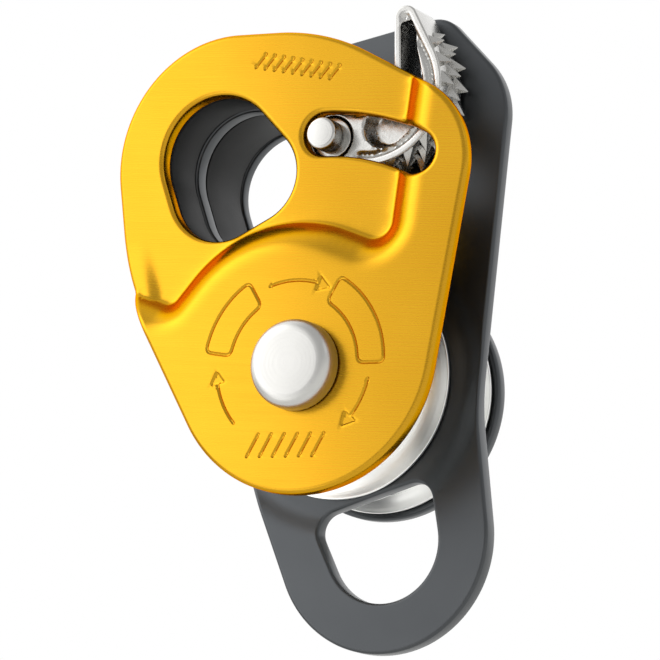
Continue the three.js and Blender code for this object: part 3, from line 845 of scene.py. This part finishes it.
def ball_tree(count, pitch, radius, material):
    """Geometry Nodes: balls evenly round a ring about the axle."""
    tree = bpy.data.node_groups.new("bearing_balls", "GeometryNodeTree")
    sizes = {"Count": ("NodeSocketInt", count), "Pitch Radius": ("NodeSocketFloat", pitch)}
    sizes.update({"Ball Radius": ("NodeSocketFloat", radius), "Centre": ("NodeSocketVector", (0, 0, 0))})
    for name, (kind, value) in sizes.items():
        tree.interface.new_socket(name, in_out="INPUT", socket_type=kind).default_value = value
    tree.interface.new_socket("Geometry", in_out="OUTPUT", socket_type="NodeSocketGeometry")
    given = add_node(tree, "NodeGroupInput").outputs
    ring = add_node(
        tree, "GeometryNodeMeshCircle", {"Vertices": given["Count"], "Radius": given["Pitch Radius"]}
    )
    upright = add_node(
        tree,
        "GeometryNodeTransform",
        {"Geometry": ring.outputs[0], "Rotation": (math.pi / 2, 0, 0), "Translation": given["Centre"]},
    )
    ball = add_node(
        tree, "GeometryNodeMeshUVSphere", {"Segments": 32, "Rings": 16, "Radius": given["Ball Radius"]}
    )
    placed = add_node(
        tree, "GeometryNodeInstanceOnPoints", {"Points": upright.outputs[0], "Instance": ball.outputs[0]}
    )
    real = add_node(tree, "GeometryNodeRealizeInstances", {0: placed.outputs[0]})
    smooth = add_node(tree, "GeometryNodeSetShadeSmooth", {0: real.outputs[0]})
    coated = add_node(tree, "GeometryNodeSetMaterial", {"Geometry": smooth.outputs[0], "Material": material})
    add_node(tree, "NodeGroupOutput", {0: coated.outputs[0]})
    return tree


def grown(name, tree, values):
    """The plain mesh that a Geometry Nodes tree makes with these values."""
    seed = bpy.data.objects.new(name, bpy.data.meshes.new(name))
    bpy.context.scene.collection.objects.link(seed)
    modifier = seed.modifiers.new("build", "NODES")
    modifier.node_group = tree
    for item in tree.interface.items_tree:
        if item.in_out == "INPUT" and item.name in values:
            modifier[item.identifier] = values[item.name]
    evaluated = seed.evaluated_get(bpy.context.evaluated_depsgraph_get())
    mesh = bpy.data.meshes.new_from_object(evaluated)
    seed.modifiers.clear()
    seed.data = mesh
    mesh.name = name
    return seed


balls_tree = ball_tree(BALL_COUNT, PITCH_R * MM, BALL_R * MM, race_steel)
for side in ("front", "rear"):
    race_front, race_back = depths(f"{side}_outer_race")
    centre = (race_front + race_back) / 2
    half = (race_back - race_front) / 2
    turning, fixed = f"{side}_sheave_body", "middle_frame"
    outer = [
        [OUTER_RACE_R, -half, 0.1],
        [OUTER_BORE_R, -half, 0.2],
        [OUTER_BORE_R, half, 0.2],
        [OUTER_RACE_R, half, 0.1],
        *groove_arc(RACE_GROOVE_R, 46, -46),
    ]
    outer_mesh = turn(rounded(outer, 3), 96, depth=centre)
    nodes = [f"{side}_outer_race"]
    finish_mesh(f"{side}_bearing_outer_ring", outer_mesh, race_steel, turning, nodes)
    inner = [
        [INNER_BORE_R, -half, 0.15],
        [INNER_RACE_R, -half, 0.1],
        *groove_arc(RACE_GROOVE_R, 226, 134),
        [INNER_RACE_R, half, 0.1],
        [INNER_BORE_R, half, 0.15],
    ]
    inner_mesh = turn(rounded(inner, 3), 96, depth=centre)
    nodes = [f"{side}_inner_race"]
    finish_mesh(f"{side}_bearing_inner_ring", inner_mesh, race_steel, fixed, nodes)
    for letter in ("a", "b"):
        seal_front, seal_back = depths(f"{side}_seal_{letter}")
        near_ball, outside = (seal_back, seal_front) if letter == "a" else (seal_front, seal_back)
        hollow = outside - (outside - near_ball) * SEAL_HOLLOW
        hollow_inner = INNER_RACE_R + SEAL_INNER_RIM
        hollow_outer = OUTER_RACE_R - SEAL_OUTER_RIM
        seal = [
            [INNER_RACE_R + SEAL_GAP, near_ball, 0],
            [INNER_RACE_R + SEAL_GAP, outside, 0.08],
            [hollow_inner, outside, 0.1],
            [hollow_inner + SEAL_SLOPE, hollow, 0.1],
            [hollow_outer - SEAL_SLOPE, hollow, 0.1],
            [hollow_outer, outside, 0.1],
            [OUTER_RACE_R - SEAL_GAP, outside, 0.08],
            [OUTER_RACE_R - SEAL_GAP, near_ball, 0],
        ]
        seal_mesh = turn(rounded(seal, 3), 72)
        nodes = [f"{side}_seal_{letter}"]
        finish_mesh(f"{side}_seal_ring_{letter}", seal_mesh, rubber, turning, nodes)
        ring_front, ring_back = depths(f"{side}_spacer_{letter}")
        ring = [
            [INNER_BORE_R, ring_front, 0.1],
            [INNER_RACE_R, ring_front, 0.2],
            [INNER_RACE_R, ring_back, 0.2],
            [INNER_BORE_R, ring_back, 0.1],
        ]
        ring_mesh = turn(rounded(ring, 3), 72)
        nodes = [f"{side}_spacer_{letter}"]
        finish_mesh(f"{side}_axle_spacer_{letter}", ring_mesh, spacer_steel, fixed, nodes)
    balls = grown(f"{side}_bearing_balls", balls_tree, {"Centre": point(0, centre, 0)})
    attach(balls, f"{side}_ball_set")
    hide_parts(*[f"{side}_ball_{i + 1}" for i in range(BALL_COUNT)])
    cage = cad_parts[f"{side}_ball_cage"]
    for i in range(len(cage.data.materials)):
        cage.data.materials[i] = nylon

# ---- Cam ----
# A stainless casting that turns on its pin and grips the rope with three rows of slanting teeth. It has a thin
# loop for a cord at its end, a pocket that lightens its front, and a rib along its rim.
CAM_RIM = [8, 5, 11.8]
CAM_OUTLINE = [
    [5.6, -3.9, 2.6],
    CAM_RIM,
    [16.4, 13.7, 1.9],
    [9.4, 6.6, -3],
    [0, 0, 4.2],
]
CAM_LOOP_HOLE = [[14.9, 4, 1.7], [16.2, 12.2, 1]]
CAM_POCKET = [[8.6, -1.4, 2.5], [13, 0.2, 2.4]]
HUB_BORE_R = 3.4
HUB_FACE_R = 4.6
POCKET_DEPTH, POCKET_WALL = 2.5, 1.2
RIB_GROOVE = {"inset": 1.7, "half": 0.7, "depth": 0.55}
TOOTH_HEIGHT = 1.6
TOOTH_ROWS = 3
TEETH_PER_ROW = 8
TOOTH_ARC = (-92, 34)  # degrees
TOOTH_LEAN = -30  # degrees
TOOTH_FACES = 5
TOOTH_ROOT_R, TOOTH_TIP_R = 1.55, 0.06
TOOTH_REACH = 1.65  # the whole cone, in tooth heights
TOOTH_SINK = 0.75  # how deep the foot of the cone lies inside the rim
TOOTH_SCALE = (0.95, 0.85, 1)
cam_front, cam_back = depths("cam")


def from_pin(circles):
    return [[x + PIN_X, z + PIN_Z, r] for x, z, r in circles]


# Investment-cast stainless steel, shot-blasted then tumbled: bright satin with small dimples about 0.5 mm
# across.
cast, tree, shader = new_material("shot_blasted_cast_stainless", Metallic=1.0)
place = add_node(tree, "ShaderNodeTexCoord").outputs["Object"]
dimples = add_node(tree, "ShaderNodeTexNoise", {"Vector": place, "Scale": 1 / 0.0005, "Detail": 3.0})
haze = add_node(tree, "ShaderNodeTexNoise", {"Vector": place, "Scale": 1 / 0.003, "Detail": 3.0})
dress(
    tree,
    shader,
    colour=(haze, linear("#A8A7A4"), linear("#BCBBB8")),
    roughness=(dimples, 0.18, 0.34),
    relief=(dimples, 0.25, 0.00006),
)


def cam_face(points):
    """The front: a pocket, and a groove that leaves a rib along the toothed rim."""
    pocket_wall = distance(points, belt(from_pin(CAM_POCKET), 0.4)) / POCKET_WALL
    pocket = POCKET_DEPTH * ease(0.5 - pocket_wall)
    inside = -distance(points, belt(from_pin(CAM_OUTLINE)))
    groove = RIB_GROOVE["depth"] * ease(1 - np.abs(inside - RIB_GROOVE["inset"]) / RIB_GROOVE["half"])
    beyond_hub = ease(np.hypot(points[:, 0] - PIN_X, points[:, 1] - PIN_Z) - HUB_FACE_R)
    return cam_front + np.maximum(pocket, groove * beyond_hub)


def tooth_tree(material):
    """Geometry Nodes: rows of slanting teeth round the rim of the cam, every other row half a pitch on."""
    tree = bpy.data.node_groups.new("cam_teeth", "GeometryNodeTree")
    for name in ("Rows", "Per Row"):
        tree.interface.new_socket(name, in_out="INPUT", socket_type="NodeSocketInt")
    for name in ("Rim Radius", "Start", "Pitch", "Row Width", "Tooth Height", "Lean"):
        tree.interface.new_socket(name, in_out="INPUT", socket_type="NodeSocketFloat")
    tree.interface.new_socket("Centre", in_out="INPUT", socket_type="NodeSocketVector")
    tree.interface.new_socket("Geometry", in_out="OUTPUT", socket_type="NodeSocketGeometry")
    given = add_node(tree, "NodeGroupInput").outputs
    index = add_node(tree, "GeometryNodeInputIndex").outputs[0]
    math_node = "ShaderNodeMath"
    per_row = given["Per Row"]
    count = add_node(tree, math_node, {0: given["Rows"], 1: per_row}, operation="MULTIPLY").outputs[0]
    share = add_node(tree, math_node, {0: index, 1: per_row}, operation="DIVIDE").outputs[0]
    row = add_node(tree, math_node, {0: share}, operation="FLOOR").outputs[0]
    along = add_node(tree, math_node, {0: index, 1: per_row}, operation="MODULO").outputs[0]
    odd = add_node(tree, math_node, {0: row, 1: 2.0}, operation="MODULO").outputs[0]
    shifted = add_node(tree, math_node, {0: odd, 1: 0.5, 2: along}, operation="MULTIPLY_ADD").outputs[0]
    angle = add_node(
        tree, math_node, {0: shifted, 1: given["Pitch"], 2: given["Start"]}, operation="MULTIPLY_ADD"
    ).outputs[0]
    mid_row = add_node(tree, math_node, {0: row, 1: 0.5}, operation="ADD").outputs[0]
    across = add_node(tree, math_node, {0: mid_row, 1: given["Row Width"]}, operation="MULTIPLY").outputs[0]
    cosine = add_node(tree, math_node, {0: angle}, operation="COSINE").outputs[0]
    sine = add_node(tree, math_node, {0: angle}, operation="SINE").outputs[0]
    flat = add_node(tree, "ShaderNodeCombineXYZ", {0: cosine, 2: sine}).outputs[0]
    vector_math = "ShaderNodeVectorMath"
    rim = add_node(tree, vector_math, {0: flat, "Scale": given["Rim Radius"]}, operation="SCALE").outputs[0]
    set_in = add_node(tree, "ShaderNodeCombineXYZ", {1: across}).outputs[0]
    on_rim = add_node(tree, vector_math, {0: rim, 1: set_in}, operation="ADD").outputs[0]
    at = add_node(tree, vector_math, {0: on_rim, 1: given["Centre"]}, operation="ADD").outputs[0]
    points = add_node(tree, "GeometryNodePoints", {"Count": count, "Position": at})
    leaning = add_node(tree, math_node, {0: angle, 1: given["Lean"]}, operation="ADD").outputs[0]
    lean = add_node(tree, math_node, {0: math.pi / 2, 1: leaning}, operation="SUBTRACT").outputs[0]
    facing = add_node(tree, "ShaderNodeCombineXYZ", {1: lean}).outputs[0]
    height = {0: given["Tooth Height"], 1: TOOTH_REACH}
    reach = add_node(tree, math_node, height, operation="MULTIPLY").outputs[0]
    fin = add_node(
        tree,
        "GeometryNodeMeshCone",
        {
            "Vertices": TOOTH_FACES,
            "Side Segments": 3,
            "Radius Top": TOOTH_TIP_R * MM,
            "Radius Bottom": TOOTH_ROOT_R * MM,
            "Depth": reach,
        },
    )
    sunk = add_node(
        tree,
        "GeometryNodeTransform",
        {"Geometry": fin.outputs[0], "Translation": (0, 0, -TOOTH_SINK * MM), "Scale": TOOTH_SCALE},
    )
    placed = add_node(
        tree,
        "GeometryNodeInstanceOnPoints",
        {"Points": points.outputs[0], "Instance": sunk.outputs[0], "Rotation": facing},
    )
    real = add_node(tree, "GeometryNodeRealizeInstances", {0: placed.outputs[0]})
    coated = add_node(tree, "GeometryNodeSetMaterial", {"Geometry": real.outputs[0], "Material": material})
    add_node(tree, "NodeGroupOutput", {0: coated.outputs[0]})
    return tree


cam_mesh = sheet(
    lambda grow: belt(from_pin(CAM_OUTLINE), grow),
    [
        lambda grow: belt(from_pin(CAM_LOOP_HOLE), grow),
        lambda grow: circle(PIN_X, PIN_Z, HUB_BORE_R, grow),
    ],
    cam_face,
    level_face(cam_back),
    edge=0.25,
    spacing=0.3,
)
finish_mesh("cast_cam", cam_mesh, cast, "cam_body", ["cam"])
teeth = grown(
    "cam_teeth",
    tooth_tree(cast),
    {
        "Rows": TOOTH_ROWS,
        "Per Row": TEETH_PER_ROW,
        "Rim Radius": CAM_RIM[2] * MM,
        "Start": math.radians(TOOTH_ARC[0]),
        "Pitch": math.radians(TOOTH_ARC[1] - TOOTH_ARC[0]) / TEETH_PER_ROW,
        "Row Width": (cam_back - cam_front) / TOOTH_ROWS * MM,
        "Tooth Height": TOOTH_HEIGHT * MM,
        "Lean": math.radians(TOOTH_LEAN),
        "Centre": point(PIN_X + CAM_RIM[0], cam_front, PIN_Z + CAM_RIM[1]),
    },
)
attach(teeth, "cam_body")

# ---- Cam pin and spring ----
# A turned stainless pin riveted through the middle plate. Its flange holds the cam, and its proud tip runs in
# the slot of the swing plate. A wire spring sits round it, in the back of the cam's hub.
PIN_TIP_R = 2.45
PIN_SHANK_R = 2.0
PIN_FLANGE_R = 3.1
PIN_FLANGE = 0.9
PIN_HEAD_R = half_width("cam_pin")
WIRE_R = 0.25
SPRING_TURNS = 3
SPRING_R = 2.55
COIL_GAP = 0.1
COIL_STEPS = 95
pin_front, pin_back = depths("cam_pin")
pin_steel = turned_metal("turned_pin_steel", "#AEADAA", 0.26, PIN_X, PIN_Z)
pin_head_front = middle_back + HEAD_PLAY
pin = [
    [0, pin_front, 0],
    [PIN_TIP_R, pin_front, 0.5],
    [PIN_TIP_R, cam_front, 0],
    [PIN_FLANGE_R, cam_front, 0.15],
    [PIN_FLANGE_R, cam_front + PIN_FLANGE, 0.1],
    [PIN_SHANK_R, cam_front + PIN_FLANGE, 0],
    [PIN_SHANK_R, pin_head_front, 0],
    [PIN_HEAD_R, pin_head_front, 0.1],
    [PIN_HEAD_R, pin_back, 0.7],
    [0, pin_back, 0],
]
pin_mesh = turn(rounded(pin, 6), 64, PIN_X, PIN_Z)
finish_mesh("cam_pivot_pin", pin_mesh, pin_steel, "middle_frame", ["cam_pin"])

spring_back = depths("cam_spring")[1]
coil = bpy.data.curves.new("cam_return_spring", "CURVE")
coil.dimensions = "3D"
coil.bevel_depth = WIRE_R * MM
coil.bevel_resolution = 3
coil.use_fill_caps = True
spline = coil.splines.new("POLY")
coil_length = SPRING_TURNS * (2 * WIRE_R + COIL_GAP)
coil_end = cam_back - WIRE_R
route = []
for k in range(COIL_STEPS + 1):
    angle = math.tau * SPRING_TURNS * k / COIL_STEPS
    depth = coil_end - coil_length * (1 - k / COIL_STEPS)
    route.append(point(PIN_X + SPRING_R * math.cos(angle), depth, PIN_Z + SPRING_R * math.sin(angle)))
route.append(point(PIN_X + SPRING_R, spring_back, PIN_Z))
spline.points.add(len(route) - 1)
for knot, place in zip(spline.points, route):
    knot.co = (*place, 1)
wire = bpy.data.objects.new("spring_curve", coil)
bpy.context.scene.collection.objects.link(wire)
wire_mesh = bpy.data.meshes.new_from_object(wire.evaluated_get(bpy.context.evaluated_depsgraph_get()))
bpy.data.objects.remove(wire)
spring_bm = bmesh.new()
spring_bm.from_mesh(wire_mesh)
finish_mesh("cam_return_spring", spring_bm, pin_steel, "middle_frame", ["cam_spring"])

# ---- Floor, lights and camera ----
# A plain pale floor well below and a white room. A soft box close on the left grades the gold plate from left
# to right, and a larger one on the right draws the edges.
FLOOR_DROP = 0.34  # in metres, like all lengths of the studio
FLOOR_HALF_WIDTH = 6
floor_mesh = bpy.data.meshes.new("studio_floor")
floor_bm = bmesh.new()
bmesh.ops.create_grid(floor_bm, x_segments=1, y_segments=1, size=FLOOR_HALF_WIDTH)
floor_bm.transform(Matrix.Translation((0, 0, cad_box[0].z - FLOOR_DROP)))
floor_bm.to_mesh(floor_mesh)
floor_bm.free()
floor = bpy.data.objects.new("studio_floor", floor_mesh)
bpy.context.scene.collection.objects.link(floor)
floor_paint, tree, shader = new_material("matt_white_floor_paint", Roughness=0.8)
shader.inputs["Base Color"].default_value = linear("#E8E8E6")
floor_mesh.materials.append(floor_paint)

# The room has a broad soft glow from the upper left, a bright backdrop that fades towards the front, and a
# bright patch of ceiling. Seen directly it is plain white.
world = bpy.data.worlds.new("white_room")
world.use_nodes = True
tree = world.node_tree
looking = add_node(tree, "ShaderNodeTexCoord").outputs["Generated"]
glow_from = Vector((-0.557, -0.663, 0.5)).normalized()
backdrop_from = (0.2, 0.95, -0.2)
ceiling_from = (-0.57, 0.1, 0.82)
facing = add_node(tree, "ShaderNodeVectorMath", {0: looking, 1: glow_from}, operation="DOT_PRODUCT")
glow = add_node(
    tree,
    "ShaderNodeMapRange",
    {"Value": facing.outputs["Value"], "From Min": 0.84, "From Max": 0.99, "To Min": 0.72, "To Max": 2.1},
    interpolation_type="SMOOTHSTEP",
)
behind = add_node(tree, "ShaderNodeVectorMath", {0: looking, 1: backdrop_from}, operation="DOT_PRODUCT")
backdrop = add_node(
    tree, "ShaderNodeMapRange", {"Value": behind.outputs["Value"], "To Min": 0.0, "To Max": 0.95}
)
above = add_node(tree, "ShaderNodeVectorMath", {0: looking, 1: ceiling_from}, operation="DOT_PRODUCT")
ceiling = add_node(
    tree,
    "ShaderNodeMapRange",
    {"Value": above.outputs["Value"], "From Min": 0.55, "From Max": 0.95, "To Min": 0.0, "To Max": 1.2},
    interpolation_type="SMOOTHSTEP",
)
sides = add_node(tree, "ShaderNodeMath", {0: glow.outputs[0], 1: backdrop.outputs[0]}, operation="ADD")
both = add_node(tree, "ShaderNodeMath", {0: sides.outputs[0], 1: ceiling.outputs[0]}, operation="ADD")
seen = add_node(tree, "ShaderNodeLightPath").outputs["Is Camera Ray"]
strength = add_node(tree, "ShaderNodeMix", {0: seen, 2: both.outputs[0], 3: 1.0}, data_type="FLOAT")
tree.links.new(strength.outputs[0], tree.nodes["Background"].inputs["Strength"])
tree.nodes["Background"].inputs["Color"].default_value = (1, 1, 1, 1)
bpy.context.scene.world = world


def soft_box(name, direction, reach, width, height, power):
    """An area light that faces the axle from a direction."""
    lamp = bpy.data.lights.new(name, "AREA")
    lamp.shape = "RECTANGLE"
    lamp.size = width
    lamp.size_y = height
    lamp.energy = power
    holder = bpy.data.objects.new(name, lamp)
    away = Vector(direction).normalized()
    facing_axle = away.to_track_quat("Z", "Y").to_matrix().to_4x4()
    holder.matrix_world = Matrix.Translation(AXLE + away * reach) @ facing_axle
    bpy.context.scene.collection.objects.link(holder)


soft_box("key_soft_box", (-0.57, -0.76, 0.28), reach=0.25, width=0.13, height=0.4, power=0.16)
soft_box("edge_soft_box", (0.9, -0.3, 0.3), reach=0.9, width=0.3, height=0.3, power=0.2)

AZIMUTH, ELEVATION, ROLL = math.radians(23), math.radians(-16.8), math.radians(14)
CAMERA_REACH = 0.7
towards = Vector(
    (
        math.sin(AZIMUTH) * math.cos(ELEVATION),
        -math.cos(AZIMUTH) * math.cos(ELEVATION),
        math.sin(ELEVATION),
    )
)
level = Vector((math.cos(AZIMUTH), math.sin(AZIMUTH), 0))
upward = towards.cross(level)
right = math.cos(ROLL) * level - math.sin(ROLL) * upward
up = math.sin(ROLL) * level + math.cos(ROLL) * upward
lens = bpy.data.cameras.new("studio_camera")
lens.sensor_width = 36
lens.lens = 251.6
lens.shift_x = -0.0205
lens.shift_y = 0.0802
lens.clip_start = 0.01
camera = bpy.data.objects.new("studio_camera", lens)
camera_turn = Matrix((right, up, towards)).transposed().to_4x4()
camera.matrix_world = Matrix.Translation(AXLE + towards * CAMERA_REACH) @ camera_turn
bpy.context.scene.collection.objects.link(camera)
bpy.context.scene.camera = camera
bpy.context.scene.view_settings.view_transform = "Standard"
